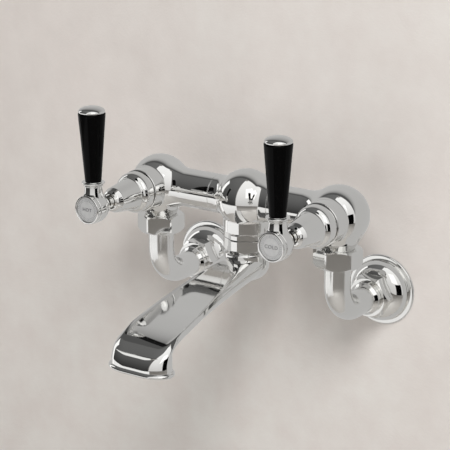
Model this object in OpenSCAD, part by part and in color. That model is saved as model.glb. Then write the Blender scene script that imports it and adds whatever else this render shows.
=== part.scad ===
// Wall mounted bath faucet with two lever valves, a bridge body and a wide cast spout.
// X runs along the wall, +Y runs into the wall, +Z is up. The origin is on the wall's
// surface, midway between the two inlets and level with them.

/* [Plumbing] */
// Distance between the two inlet axes
inlet_centres = 180; // [150:1:200]
// Distance from the wall to the axis of the bridge body
body_reach = 78; // [72:1:90]
// Height of the bridge body above the inlets
body_rise = 86; // [84:1:96]
// Outside radius of the pipe legs
pipe_r = 11.1; // [10.9:0.1:11.1]
// Radius of the bend in the pipe legs, to the pipe's middle
bend_r = 27; // [24:1:29]
// Radius of the male G1/2 thread that goes into the wall
inlet_thread_r = 10.48; // [10.4:0.01:10.5]
// Length of the male thread behind the wall's surface
inlet_thread_len = 20; // [12:1:30]
// Radius of the cover flanges on the wall
flange_r = 31.3; // [29:0.1:34]

/* [Bridge body] */
// Radius of the three balls
ball_r = 25.5; // [25:0.1:26]
// Radius of the tube between them
tube_r = 16.5; // [15:0.1:18]
// Radius of the bosses that carry the bonnets
boss_r = 18.4; // [18.2:0.1:18.8]
// Front face of those bosses, ahead of the ball's centre
boss_front = 32; // [31:0.5:33]

/* [Nuts] */
// Distance across the flats of the union nuts and the spout nut
union_flats = 36.5; // [35:0.5:38]
// Underside of the union nuts, above the inlet axes
union_base = 43; // [43:0.5:44]
// Height of the union nuts
union_height = 15.6; // [15:0.1:15.6]
// Distance across the flats of the wall nuts
wall_nut_flats = 34.3; // [32:0.1:36]

/* [Levers] */
// Lever axis, ahead of the ball's centre
lever_out = 94; // [92:0.5:96]
// Radius of the round lever hub
hub_r = 12.6; // [12.2:0.1:13]
// Length of the ceramic lever grip
grip_len = 58.4; // [45:0.1:70]
// Radius of the grip at its foot
grip_foot_r = 6.9; // [6:0.1:7.1]
// Radius of the grip at its top
grip_top_r = 11.5; // [9:0.1:12]

/* [Spout] */
// Where the straight top face of the spout meets the bend, from the wall
bend_start = 206; // [190:1:215]
// Front of the mouth, from the wall
mouth_front = 241.4; // [230:0.1:255]
// Height of the top face at the start of the bend
bend_height = 9.7; // [8:0.1:12]
// Height of the mouth's rim, measured from the inlet axes
mouth_base = -19.7; // [-30:0.1:-20]
// Drop of the top face for each millimetre of reach
face_slope = 0.242; // [0.2:0.001:0.26]

/* [Hidden] */
$fn = 72;
half = inlet_centres / 2;
gap = 0.05;
eps = 0.01;

// Heights above the inlet axes
union_top = union_base + union_height;
nipple_base = union_base + 6.6;
neck_base = union_top + 0.4;
socket_base = 53.2;
socket_top = 58.6;
spout_nut_base = 42;
spout_boss_top = 41.6;

// Distances ahead of the ball's centre, along a valve's axis
seat_d = -7;
nipple_end = 39;
bonnet_back = boss_front + 0.6;
bonnet_front = 72.4;
hub_back = 72.9;
hub_front = 99.8;
ring_front = 104;
bore_r = 10.5;
nipple_r = 14.5;
spindle_r = 4;
disc_r = 7.8;

// Heights above the valve's axis, along a lever
collar_foot = 18.7;
neck_r = 7.3;
grip_foot = 22.9;
grip_top = grip_foot + grip_len;

// Distances from the wall, along an inlet
nut_back = 16;
nut_front = 27.5;
connector_front = 23;
leg_collar = 24.5;
seal_t = 1.4;

CHROME = "Silver";
BRASS = "Goldenrod";
BLACK = "Black";
RUBBER = "DimGray";
WHITE = "White";

SIDES = [["hot", -1], ["cold", 1]];

// ---- placing ----

// Local +Z runs forwards from the ball's centre, along a valve's axis
module at_valve(side) {
    translate([side * half, -body_reach, body_rise])
        rotate([90, 0, 0])
            children();
}

// Local +Z runs up a lever, from the valve's axis
module at_lever(side) {
    translate([side * half, -body_reach - lever_out, body_rise])
        children();
}

// Local +Z runs from the wall's surface towards the room, along an inlet
module at_inlet(side) {
    translate([side * half, 0, 0])
        rotate([90, 0, 0])
            children();
}

// Origin on the inlet's level, on the vertical axis of a leg
module at_leg(side) {
    translate([side * half, -body_reach, 0])
        children();
}

module at_spout() {
    translate([0, -body_reach, 0])
        children();
}

// ---- small shapes ----

module tube_z(r_out, r_in, z0, z1) {
    translate([0, 0, z0])
        difference() {
            cylinder(r = r_out, h = z1 - z0);
            translate([0, 0, -1])
                cylinder(r = r_in, h = z1 - z0 + 2);
        }
}

module rod_z(r, z0, z1) {
    translate([0, 0, z0])
        cylinder(r = r, h = z1 - z0);
}

// A hexagon bar whose corners are turned down at both ends by a cone
module chamfered_hex(flats, z0, z1, turn, chamfer_low, chamfer_high, spin = 0) {
    corner = flats / sqrt(3);
    h = z1 - z0;
    intersection() {
        translate([0, 0, z0])
            rotate([0, 0, spin])
                cylinder(r = corner, h = h, $fn = 6);
        translate([0, 0, z0])
            rotate_extrude($fn = 96)
                polygon([
                    [0, 0], [corner - chamfer_low[0], 0], [turn, chamfer_low[1]],
                    [turn, h - chamfer_high[1]], [corner - chamfer_high[0], h], [0, h]
                ]);
    }
}

// Concave blend between a ball at the origin and a stem along +Z
module blend_ring(ball, stem, radius, bite = 0.2) {
    centre_r = stem - bite + radius;
    centre_z = sqrt(pow(ball + radius - bite, 2) - pow(centre_r, 2));
    inside = (ball - 0.5) / norm([centre_r, centre_z]);
    rotate_extrude($fn = 96)
        difference() {
            polygon([
                [0, 0], [centre_r * inside, centre_z * inside],
                [centre_r, centre_z], [0, centre_z]
            ]);
            translate([centre_r, centre_z])
                circle(r = radius, $fn = 128);
        }
}

// A round rubber ring of section radius cs, on a groove of radius r
module oring(r, cs, z) {
    translate([0, 0, z])
        rotate_extrude()
            translate([r + cs, 0])
                circle(r = cs, $fn = 24);
}

// Points along an arc, from angle a0 to a1
function arc(cx, cy, r, a0, a1, n = 8) =
    [for (i = [0 : n]) let (a = a0 + (a1 - a0) * i / n) [cx + r * cos(a), cy + r * sin(a)]];

// ---- bridge body ----

module ball_blends() {
    for (side = [-1, 1]) {
        translate([side * half, 0, 0])
            rotate([0, -side * 90, 0])
                blend_ring(ball_r, tube_r, 30);
        rotate([0, side * 90, 0])
            blend_ring(ball_r, tube_r, 12);
    }
}

module bridge_solid() {
    for (x = [-half, 0, half])
        translate([x, 0, 0])
            sphere(r = ball_r);
    rotate([0, 90, 0])
        cylinder(r = tube_r, h = inlet_centres, center = true);
    ball_blends();
    // Neck over the spout
    mirror([0, 0, 1]) {
        rod_z(20, 6, body_rise - socket_top - 0.2);
        blend_ring(ball_r, 20, 5);
    }
}

// Pear-shaped neck down to the union nut, with its male thread
module inlet_neck(side) {
    at_leg(side) {
        translate([0, 0, neck_base])
            cylinder(r1 = 13.8, r2 = 23.9, h = body_rise - 8 - neck_base);
        rod_z(13.2, nipple_base, neck_base + 1);
    }
}

module valve_boss(side) {
    at_valve(side) {
        translate([0, 0, 4])
            rotate_extrude()
                polygon([
                    [0, 0], [boss_r, 0], [boss_r, boss_front - 4.7],
                    [boss_r - 0.7, boss_front - 4], [0, boss_front - 4]
                ]);
        blend_ring(ball_r, boss_r, 5);
        rod_z(nipple_r, boss_front - 1, nipple_end);
    }
}

module body_waterways(side) {
    // Rising inlet, slanted feed to the back of the seat, chamber and cartridge bore
    at_leg(side) {
        rod_z(8, nipple_base - 1, 66);
        translate([0, 0, 62])
            rotate([-38, 0, 0])
                cylinder(r = 5, h = 26);
    }
    at_valve(side) {
        rod_z(6.5, -19, seat_d + 1);
        rod_z(bore_r, seat_d, nipple_end + 1);
    }
}

module body() {
    color(CHROME)
        difference() {
            union() {
                translate([0, -body_reach, body_rise])
                    bridge_solid();
                for (side = [-1, 1]) {
                    inlet_neck(side);
                    valve_boss(side);
                }
            }
            for (side = [-1, 1])
                body_waterways(side);
            // Stepped waterway along the bridge, with a chamber over the spout
            translate([0, -body_reach, body_rise]) {
                rotate([0, 90, 0]) {
                    cylinder(r = 6, h = inlet_centres, center = true);
                    cylinder(r = 12, h = inlet_centres - 56, center = true);
                }
                sphere(r = 18);
            }
            at_spout()
                rod_z(13.25, socket_top - 1, 72);
            // Fine grooves where the tube runs into the middle ball
            for (side = [-1, 1])
                translate([side * 29.5, -body_reach, body_rise])
                    rotate([0, 90, 0])
                        tube_z(tube_r + 3, tube_r - 0.5, -0.4, 0.4);
        }
}

// ---- legs and wall fittings ----

module union_nut(side) {
    color(CHROME)
        at_leg(side)
            difference() {
                chamfered_hex(union_flats, union_base, union_top, union_flats / sqrt(3) - 0.5,
                    [2.9, 2.4], [2.6, 1.5]);
                rod_z(pipe_r + 0.1, union_base - 1, union_base + 4);
                rod_z(13.25, union_base + 3.2, union_top + 1);
            }
}

module union_washers() {
    color(RUBBER)
        for (side = [-1, 1])
            at_leg(side)
                tube_z(12.9, 8.5, nipple_base - 1.5, nipple_base);
}

module leg(side) {
    rise = nipple_base - 1.5;
    run = body_reach - bend_r;
    color(CHROME)
        at_leg(side) {
            difference() {
                union() {
                    rod_z(pipe_r, bend_r, rise);
                    rod_z(12.9, rise - 1.8, rise);
                }
                rod_z(pipe_r - 1.5, bend_r - 1, rise + 1);
            }
            translate([0, bend_r, bend_r])
                rotate([0, 90, 0])
                    rotate_extrude(angle = -90)
                        translate([bend_r, 0])
                            difference() {
                                circle(r = pipe_r);
                                circle(r = pipe_r - 1.5);
                            }
            translate([0, body_reach, 0])
                rotate([90, 0, 0])
                    difference() {
                        union() {
                            rod_z(pipe_r, leg_collar, run);
                            rod_z(12.9, leg_collar, leg_collar + 1.9);
                        }
                        rod_z(pipe_r - 1.5, leg_collar - 1, run + 1);
                    }
        }
}

module leg_ring(side) {
    color(CHROME)
        at_inlet(side)
            rotate_extrude()
                polygon(concat(
                    [[pipe_r + gap, nut_front + 0.1], [14.3, nut_front + 0.1]],
                    arc(11.9, 31.6, 2.4, 0, 80, 6),
                    [[pipe_r + gap, 34.2]]
                ));
}

module wall_nut(side) {
    corner = wall_nut_flats / sqrt(3);
    color(CHROME)
        at_inlet(side)
            difference() {
                chamfered_hex(wall_nut_flats, nut_back, nut_front, corner - 0.2,
                    [0.6, 0.4], [2.9, 2.2], spin = 30);
                rod_z(pipe_r + 0.1, nut_front - 2, nut_front + 1);
                rod_z(13.25, nut_back - 1, leg_collar + 2);
            }
}

module wall_washers() {
    color(RUBBER)
        for (side = [-1, 1])
            at_inlet(side)
                tube_z(12.9, 8.5, connector_front, leg_collar);
}

// Bell-shaped cover with a thin rim against the wall
module wall_flange(side) {
    bell_r = 27.2;
    color(CHROME)
        at_inlet(side)
            difference() {
                rotate_extrude($fn = 96)
                    polygon(concat(
                        [[0, 0], [flange_r, 0]],
                        arc(flange_r - 1.1, 1.1, 1.1, 0, 90, 5),
                        [[bell_r + 0.5, 2.2], [bell_r, 2.7]],
                        arc(bell_r - 13.2, 2.7, 13.2, 8, 82, 10),
                        [[0, nut_back]]
                    ));
                translate([0, 0, -1])
                    cylinder(r = bell_r - 2, h = 4);
                rotate_extrude()
                    polygon(concat(
                        [[0, 2], [bell_r - 2.3, 2]],
                        arc(bell_r - 13.2, 2.9, 10.9, 5, 82, 8),
                        [[0, 13.6]]
                    ));
                rod_z(13.35, 10, nut_back + 1);
            }
}

module wall_seals() {
    color(RUBBER)
        for (side = [-1, 1])
            at_inlet(side)
                tube_z(24.9, 14, 0, seal_t);
}

// Straight connector: male thread into the wall, male thread for the wall nut
module wall_connector(side) {
    color(BRASS)
        at_inlet(side)
            difference() {
                union() {
                    rod_z(inlet_thread_r, -inlet_thread_len, 1);
                    rod_z(13.2, 0, connector_front);
                }
                rod_z(7.5, -inlet_thread_len - 1, connector_front + 1);
            }
}

// ---- valves ----

module cartridge(side) {
    color(BRASS)
        at_valve(side)
            difference() {
                union() {
                    rod_z(9.6, seat_d + 2.5, 22);
                    rod_z(bore_r - gap, 20, nipple_end);
                    rod_z(11.3, nipple_end, nipple_end + 1.6);
                    translate([0, 0, nipple_end + 1.6])
                        cylinder(r = 19 / sqrt(3), h = 6, $fn = 6);
                    rod_z(8.2, nipple_end + 7, 57);
                }
                rod_z(disc_r + 0.1, seat_d + 1, 7);
                rod_z(6.4, 6, 46);
                rod_z(spindle_r + gap, 45, 58);
                // Side windows that let the water out
                translate([0, 0, 1.2])
                    cube([30, 8, 5], center = true);
            }
}

module seat_seal(side) {
    color(RUBBER)
        at_valve(side)
            tube_z(9.4, 4.5, seat_d, seat_d + 2.5);
}

module ported_disc(z0, z1, turn) {
    difference() {
        rod_z(disc_r, z0, z1);
        for (a = [0, 180])
            rotate([0, 0, turn + a])
                translate([4.6, 0, z0 - 1])
                    cylinder(r = 2.4, h = z1 - z0 + 2, $fn = 32);
    }
}

module fixed_disc(side) {
    color(WHITE)
        at_valve(side)
            ported_disc(seat_d + 2.5, seat_d + 5.5, 0);
}

module moving_disc(side) {
    color(WHITE)
        at_valve(side)
            difference() {
                ported_disc(seat_d + 5.52, seat_d + 8.5, 90);
                translate([0, 0, seat_d + 8.5])
                    cube([3, 20, 2.4], center = true);
            }
}

module spindle(side) {
    foot = seat_d + 8.52;
    color(BRASS)
        at_valve(side)
            difference() {
                union() {
                    translate([0, 0, foot - 0.5])
                        cube([2.9, 10, 1.2], center = true);
                    rod_z(disc_r - 0.1, foot, foot + 2.6);
                    rod_z(6.2, foot + 2, 44);
                    rod_z(spindle_r, 40, 88);
                }
                rod_z(2.05, 78, 89);
                tube_z(spindle_r + 1, spindle_r - 0.7, 57.3, 58.2);
                for (z = [26, 34])
                    tube_z(6.5, 5, z - 1.2, z + 1.2);
            }
}

module spindle_orings(side) {
    color(RUBBER)
        at_valve(side)
            for (z = [26, 34])
                oring(5.02, 0.65, z);
}

module circlip(side) {
    color("DimGray")
        at_valve(side)
            difference() {
                tube_z(6.4, spindle_r - 0.65, 57.35, 58.15);
                translate([0, -5, 57.7])
                    cube([3.2, 10, 3], center = true);
            }
}

// Barrel band with a rounded shoulder, then a long cone with a rounded nose
module bonnet(side) {
    band_r = 17.7;
    color(CHROME)
        at_valve(side)
            difference() {
                rotate_extrude($fn = 96)
                    polygon(concat(
                        [[0, bonnet_back], [band_r - 0.5, bonnet_back], [band_r, bonnet_back + 0.6]],
                        [[band_r, 37]],
                        arc(band_r - 6.6, 38.6, 6.6, 0, 62, 8),
                        [[13.3, 45.9], [10.75, 67]],
                        arc(7.2, 67.2, 3.55, 12, 66, 6),
                        arc(7.2, bonnet_front - 1, 1, 60, 90, 3),
                        [[0, bonnet_front]]
                    ));
                rod_z(nipple_r + gap, bonnet_back - 1, nipple_end + 0.5);
                rod_z(11.6, nipple_end, 49.5);
                rod_z(9, 49, 65.5);
                rod_z(5.3, 65, bonnet_front + 1);
            }
}

module bonnet_bush(side) {
    color(BLACK)
        at_valve(side)
            tube_z(5.25, spindle_r + gap, 66, bonnet_front - 0.1);
}

// ---- levers ----

// Rear of the hub swells from the spindle to the full radius
function hub_swell(t) = 5 + (hub_r - 5) * (1 - cos(180 * t)) / 2;

// Neck widens towards the hub
function neck_flare(z) = neck_r + 3.2 * pow(max(0, collar_foot - z) / 13.7, 2.2);

module hub(side) {
    swell_end = 94;
    color(CHROME)
        difference() {
            union() {
                at_valve(side)
                    rotate_extrude($fn = 96)
                        polygon(concat(
                            [[0, hub_back]],
                            [for (i = [0 : 14]) let (t = i / 14)
                                [hub_swell(t), hub_back + (swell_end - hub_back) * t]],
                            [[hub_r, hub_front - 0.8], [hub_r - 0.35, hub_front], [0, hub_front]]
                        ));
                at_lever(side)
                    intersection() {
                        rotate_extrude()
                            polygon(concat(
                                [[0, 3]],
                                [for (z = [3 : 1.5 : 16.5]) [neck_flare(z), z]],
                                [[neck_r, collar_foot], [0, collar_foot]]
                            ));
                        union() {
                            translate([-20, lever_out - hub_front - 0.01, 0])
                                cube([40, 40, 40]);
                            // Above the index ring the neck is fully round
                            translate([-20, -20, hub_r + 0.1])
                                cube([40, 40, 20]);
                        }
                    }
            }
            at_valve(side) {
                rod_z(spindle_r + gap, hub_back - 1, 88);
                rod_z(2.2, 87, 93);
                rod_z(4.4, 92, 97);
                rod_z(7.7, 96, hub_front + 1);
            }
            at_lever(side)
                rod_z(2.55, 8.5, collar_foot + 1);
        }
}

module hub_screw(side) {
    color("Silver")
        at_valve(side)
            difference() {
                union() {
                    rod_z(2, 79, 92.5);
                    rod_z(3.8, 92, 95.2);
                }
                translate([0, 0, 93.6])
                    cylinder(r = 1.7, h = 3, $fn = 6);
            }
}

module index_ring(side) {
    color(CHROME)
        at_valve(side)
            difference() {
                union() {
                    rotate_extrude($fn = 96)
                        polygon(concat(
                            [[0, hub_front + 0.1], [hub_r - 0.4, hub_front + 0.1]],
                            [[hub_r - 0.4, ring_front - 0.9]],
                            arc(hub_r - 1.3, ring_front - 0.9, 0.9, 0, 90, 4),
                            [[0, ring_front]]
                        ));
                    rod_z(7.65, 97.2, hub_front + 0.5);
                }
                rod_z(6, 96, hub_front + 0.6);
                rod_z(10.35, 102, ring_front + 1);
            }
}

module index_disc(side) {
    color("Gainsboro")
        at_valve(side)
            rod_z(10.3, 102, 103.1);
}

module lever_collar(side) {
    color(CHROME)
        at_lever(side)
            difference() {
                rotate_extrude()
                    polygon(concat(
                        [[0, collar_foot + 0.05], [7.8, collar_foot + 0.05], [8.1, collar_foot + 0.5]],
                        [[8.1, 20], [7.2, 20.3], [7.2, 21.15]],
                        arc(8.95, 21.85, 0.7, -90, 90, 6),
                        [[7.2, 22.55], [7.2, grip_foot], [0, grip_foot]]
                    ));
                rod_z(2.55, collar_foot - 1, grip_foot + 1);
            }
}

module lever_grip(side) {
    round_top = 1.4;
    color(BLACK)
        at_lever(side)
            difference() {
                rotate_extrude()
                    polygon(concat(
                        [[0, grip_foot + 0.05], [grip_foot_r - 0.8, grip_foot + 0.05]],
                        [[grip_foot_r, grip_foot + 0.9]],
                        arc(grip_top_r - round_top, grip_top - 0.3 - round_top, round_top, -4, 90, 6),
                        [[0, grip_top - 0.3]]
                    ));
                rod_z(2.6, grip_foot - 1, grip_top + 1);
            }
}

module lever_rod(side) {
    color("Silver")
        at_lever(side)
            rod_z(2.5, 9.5, grip_top + 2.4);
}

module lever_cap(side) {
    rim = grip_top_r - 0.5;
    color(CHROME)
        at_lever(side)
            difference() {
                translate([0, 0, grip_top - 0.25])
                    rotate_extrude()
                        polygon(concat(
                            [[0, 0], [rim - 0.3, 0], [rim, 0.4], [rim, 0.9]],
                            [for (a = [8 : 8 : 88]) [rim * cos(a), 0.9 + 4.2 * sin(a)]],
                            [[0, 5.1]]
                        ));
                rod_z(2.55, grip_top - 1, grip_top + 2.6);
            }
}

// ---- spout ----

module spout_socket() {
    color(CHROME)
        at_spout()
            difference() {
                union() {
                    chamfered_hex(union_flats, socket_base, socket_top, union_flats / sqrt(3) - 1.6,
                        [2, 0.5], [2.6, 1.3]);
                    rod_z(13.2, socket_top - 1, 70);
                    rod_z(15, 47.8, socket_base + 1);
                }
                rod_z(10.06, 46, 64);
                rod_z(8, 60, 71);
            }
}

module spout_nut() {
    color(CHROME)
        at_spout()
            difference() {
                chamfered_hex(union_flats, spout_nut_base, socket_base - 0.4,
                    union_flats / sqrt(3) - 1.6, [2.9, 2], [2, 0.5]);
                rod_z(12.8, spout_nut_base - 1, 46);
                rod_z(15.05, 44.6, socket_base + 1);
            }
}

module spout_washer() {
    color(WHITE)
        at_spout()
            tube_z(14.6, 12.8, 44.6, 45.4);
}

module spout_tail() {
    color(BRASS)
        at_spout()
            difference() {
                union() {
                    rod_z(12.5, 31, 46);
                    rod_z(14.2, 45.5, 47.5);
                    rod_z(10, 46, 62);
                }
                rod_z(7.5, 30, 63);
                for (z = [51.5, 57.5])
                    tube_z(11, 8.7, z - 1.3, z + 1.3);
            }
}

module spout_orings() {
    color(RUBBER)
        at_spout()
            for (z = [51.5, 57.5])
                oring(8.72, 0.64, z);
}

// The spout is a loft along the middle of its top face. Each station is
// [distance from the wall, height, lean of the section, progress, full depth].
bend_angle = atan(face_slope);
bend_p0 = [bend_start, bend_height];
bend_p1 = bend_p0 + 20 * [cos(bend_angle), -sin(bend_angle)];
bend_p3 = [mouth_front, mouth_base + 4];
bend_p2 = bend_p3 + [0, 14.5];
bend_span = 45;
// The sections of the bend fan out from the heel, a small fillet behind the mouth
heel = [213, -4];
heel_r = 3;

function bezier(t) =
    pow(1 - t, 3) * bend_p0 + 3 * t * pow(1 - t, 2) * bend_p1
    + 3 * t * t * (1 - t) * bend_p2 + pow(t, 3) * bend_p3;

function straight_station(u) =
    [u, bend_height + face_slope * (bend_start - u), bend_angle, u, depth(u)];

function bend_station(t) =
    let (p = bezier(t), s = bend_start + bend_span * t, v = p - heel)
    let (fan = v[1] > 0 ? atan2(v[0], v[1]) : 90, far = v[1] > 0 ? norm(v) : v[0])
    [p[0], p[1], max(bend_angle, fan), s, fan > bend_angle ? far - heel_r : depth(s)];

arm_start = body_reach + 2;
tip = bend_start + bend_span;
mouth_depth = mouth_front - heel[0] - heel_r;
stations = concat(
    [for (u = [arm_start : (bend_start - arm_start) / 14 : bend_start - 1]) straight_station(u)],
    [for (t = [0 : 0.0625 : 1.001]) bend_station(t)]
);

// Half width, half width of the flat top, height of the top above the widest
// line, rise of the side rails, full depth and roundness of the underside
function half_width(s) =
    lookup(s, [[78, 19], [105, 19.5], [125, 20], [150, 21.3], [180, 24], [206, 25.8], [228, 27], [249, 28]]);
function flat_half(s) =
    lookup(s, [[78, 4], [105, 8.5], [125, 13.5], [150, 18], [206, 22], [220, 19], [235, 13], [249, 9]]);
function edge_drop(s) =
    lookup(s, [[78, 8], [105, 6], [125, 4.5], [150, 3], [206, 1.8], [220, 3], [230, 6], [241, 11], [249, 12]]);
function rail_rise(s) =
    lookup(s, [[78, 0], [125, 0.8], [150, 1.4], [206, 1.8], [218, 0.7], [230, 0], [249, 0]]);
function depth(s) =
    lookup(s, [[78, 25], [105, 20], [125, 18], [150, 15.5], [180, 11.8], [206, 10.2], [216, 9]]);
function under_power(s) =
    lookup(s, [[78, 2.4], [125, 2.2], [180, 1.8], [206, 1.8], [249, 2.3]]);

function shoulder(q, s) =
    -edge_drop(s) * (1 - sqrt(1 - q * q)) + rail_rise(s) * pow(sin(180 * q), 2);

function top_y(x, s) =
    let (w = half_width(s), a = flat_half(s))
    abs(x) <= a ? 0 : shoulder(min(1, (abs(x) - a) / (w - a)), s);

function under_y(x, s, deep) =
    let (w = half_width(s), n = under_power(s))
    -edge_drop(s) - (deep - edge_drop(s)) * pow(max(0, 1 - pow(min(1, abs(x) / w), n)), 1 / n);

top_steps = 26;
under_steps = 18;

// Closed outline of the spout's section, from the right edge over the top and back
function outline(s, deep) = concat(
    [for (i = [0 : top_steps]) let (x = half_width(s) * cos(180 * i / top_steps)) [x, top_y(x, s)]],
    [for (i = [1 : under_steps - 1]) let (x = -half_width(s) * cos(180 * i / under_steps))
        [x, under_y(x, s, deep)]]
);

function grown(points, s, g) =
    let (w = half_width(s), c = -mouth_depth / 2)
    [for (p = points) [p[0] * (w + g) / w, c + (p[1] - c) * (-c + g) / -c]];

function placed(points, st) =
    [for (p = points) [p[0], -st[0] - p[1] * sin(st[2]), st[1] + p[1] * cos(st[2])]];

function water_outline(s, deep) =
    let (w = half_width(s) - 4, c = -deep / 2, h = deep / 2 - 3)
    [for (i = [0 : 23]) [w * cos(15 * i), c + h * sin(15 * i)]];

// A closed solid through a list of rings that all have the same number of points
module loft(rings) {
    n = len(rings[0]);
    last = len(rings) - 1;
    middles = [for (r = [rings[0], rings[last]]) [for (k = [0 : 2]) [for (p = r) p[k]] * [for (p = r) 1] / n]];
    points = concat([for (r = rings, p = r) p], middles);
    low = len(points) - 2;
    high = len(points) - 1;
    faces = concat(
        [for (i = [0 : last - 1], j = [0 : n - 1]) [i * n + j, (i + 1) * n + j, i * n + (j + 1) % n]],
        [for (i = [0 : last - 1], j = [0 : n - 1])
            [i * n + (j + 1) % n, (i + 1) * n + j, (i + 1) * n + (j + 1) % n]],
        [for (j = [0 : n - 1]) [low, j, (j + 1) % n]],
        [for (j = [0 : n - 1]) [high, last * n + (j + 1) % n, last * n + j]]
    );
    polyhedron(points = points, faces = faces);
}

// The rim stands proud around the mouth: [height above the mouth's base, growth]
rim = [[3.6, 0.9], [2.6, 1.9], [1.2, 2], [0, 1.2]];

module spout_arm() {
    loft(concat(
        [for (st = stations) placed(outline(st[3], st[4]), st)],
        [for (r = rim) placed(grown(outline(tip, mouth_depth), tip, r[1]),
            [mouth_front, mouth_base + r[0], 90])]
    ));
}

module spout_waterway() {
    loft(concat(
        [for (st = stations) if (st[1] > mouth_base + 12) placed(water_outline(st[3], st[4]), st)],
        [for (h = [9, -1]) placed(water_outline(tip, mouth_depth), [mouth_front, mouth_base + h, 90])]
    ));
}

module spout() {
    boss = 19.5;
    color(CHROME)
        difference() {
            union() {
                at_spout()
                    rotate_extrude()
                        polygon(concat(
                            [[0, 13.6]],
                            [for (a = [-84 : 8 : 0]) [boss * cos(a), 28 + 14.4 * sin(a)]],
                            [[boss, 39.6], [boss - 2, spout_boss_top], [0, spout_boss_top]]
                        ));
                spout_arm();
            }
            at_spout() {
                rod_z(12.55, 31, 43);
                rod_z(9.5, 22, 32);
            }
            spout_waterway();
        }
}

// Grid that calms the flow, pushed in just inside the mouth
module flow_straightener() {
    top = mouth_base + 8;
    base = mouth_base + 4.2;
    wide = half_width(tip) - 4.4;
    deep = mouth_depth / 2 - 3.4;
    color(WHITE)
        translate([0, -mouth_front + mouth_depth / 2, base])
            difference() {
                linear_extrude(height = top - base)
                    polygon([for (i = [0 : 23]) [wide * cos(15 * i), deep * sin(15 * i)]]);
                for (x = [-16.5 : 5.5 : 16.5], y = [-4.4, 0, 4.4])
                    translate([x, y, 1])
                        cube([4.2, 3.2, 20], center = true);
            }
}

// ---- selection ----

body();
spout_socket();
spout_nut();
spout();
spout_tail();
spout_orings();
spout_washer();
flow_straightener();
union_washers();
wall_washers();
wall_seals();
for (s = SIDES) {
    union_nut(s[1]);
    leg(s[1]);
    leg_ring(s[1]);
    wall_nut(s[1]);
    wall_flange(s[1]);
    wall_connector(s[1]);
    cartridge(s[1]);
    seat_seal(s[1]);
    fixed_disc(s[1]);
    moving_disc(s[1]);
    spindle(s[1]);
    spindle_orings(s[1]);
    circlip(s[1]);
    bonnet(s[1]);
    bonnet_bush(s[1]);
    hub(s[1]);
    hub_screw(s[1]);
    index_ring(s[1]);
    index_disc(s[1]);
    lever_collar(s[1]);
    lever_grip(s[1]);
    lever_rod(s[1]);
    lever_cap(s[1]);
}
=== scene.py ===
import math
import bmesh
import bpy
from mathutils import Matrix, Vector


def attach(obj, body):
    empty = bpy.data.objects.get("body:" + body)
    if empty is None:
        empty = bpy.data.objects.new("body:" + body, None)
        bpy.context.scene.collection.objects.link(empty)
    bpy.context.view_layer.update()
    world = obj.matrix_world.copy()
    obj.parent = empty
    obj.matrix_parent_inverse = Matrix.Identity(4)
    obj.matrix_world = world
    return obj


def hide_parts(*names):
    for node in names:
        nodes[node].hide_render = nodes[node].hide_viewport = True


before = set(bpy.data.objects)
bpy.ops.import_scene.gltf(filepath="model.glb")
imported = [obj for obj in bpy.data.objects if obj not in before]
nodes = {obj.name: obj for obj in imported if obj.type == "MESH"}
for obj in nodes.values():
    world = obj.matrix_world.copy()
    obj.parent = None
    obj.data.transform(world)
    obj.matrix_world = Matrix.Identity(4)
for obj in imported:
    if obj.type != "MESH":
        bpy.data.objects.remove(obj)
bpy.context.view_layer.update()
scene = bpy.context.scene
mm = 0.001
sides = {"hot": -1, "cold": 1}

# places that the pieces are turned about, in metres
layout = {"half": 0.09, "reach": 0.078, "rise": 0.086, "leverOut": 0.094}
faceRoom = Matrix.Rotation(math.pi / 2, 4, "X")


def atBall(side):
    return Matrix.Translation((side * layout["half"], -layout["reach"], layout["rise"])) @ faceRoom


def atLever(side):
    out = layout["reach"] + layout["leverOut"]
    return Matrix.Translation((side * layout["half"], -out, layout["rise"]))


def atInlet(side):
    return Matrix.Translation((side * layout["half"], 0, 0)) @ faceRoom


def atLeg(side):
    return Matrix.Translation((side * layout["half"], -layout["reach"], 0))


def atSpout():
    return Matrix.Translation((0, -layout["reach"], 0))


camera = {"place": (0.7339, -1.1998, 0.4730), "target": (-0.03433, -0.0600, 0.05195), "lens": 131.9}
camData = bpy.data.cameras.new("camera")
cam = bpy.data.objects.new("camera", camData)
scene.collection.objects.link(cam)
cam.location = camera["place"]
cam.rotation_mode = "QUATERNION"
cam.rotation_quaternion = (Vector(camera["target"]) - Vector(camera["place"])).to_track_quat("-Z", "Y")
camData.lens = camera["lens"]
camData.sensor_width = 36
camData.clip_start, camData.clip_end = 0.05, 30
scene.camera = cam
print("camera is set")


# a socket that plain sums can be written with
class Wire:
    def __init__(self, maker, socket):
        self.maker, self.socket = maker, socket

    def calc(self, operation, *others):
        inputs = {i: value for i, value in enumerate((self,) + others)}
        return self.maker.node("ShaderNodeMath", {"operation": operation}, inputs)

    def __add__(self, other):
        return self.calc("ADD", other)

    def __sub__(self, other):
        return self.calc("SUBTRACT", other)

    def __rsub__(self, other):
        return self.maker.node("ShaderNodeMath", {"operation": "SUBTRACT"}, {0: other, 1: self})

    def __mul__(self, other):
        return self.calc("MULTIPLY", other)

    __radd__ = __add__
    __rmul__ = __mul__

    # 0 at low, 1 at high
    def span(self, low, high):
        inputs = {"Value": self, "From Min": low, "From Max": high}
        return self.maker.node("ShaderNodeMapRange", {"clamp": True}, inputs)


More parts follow.
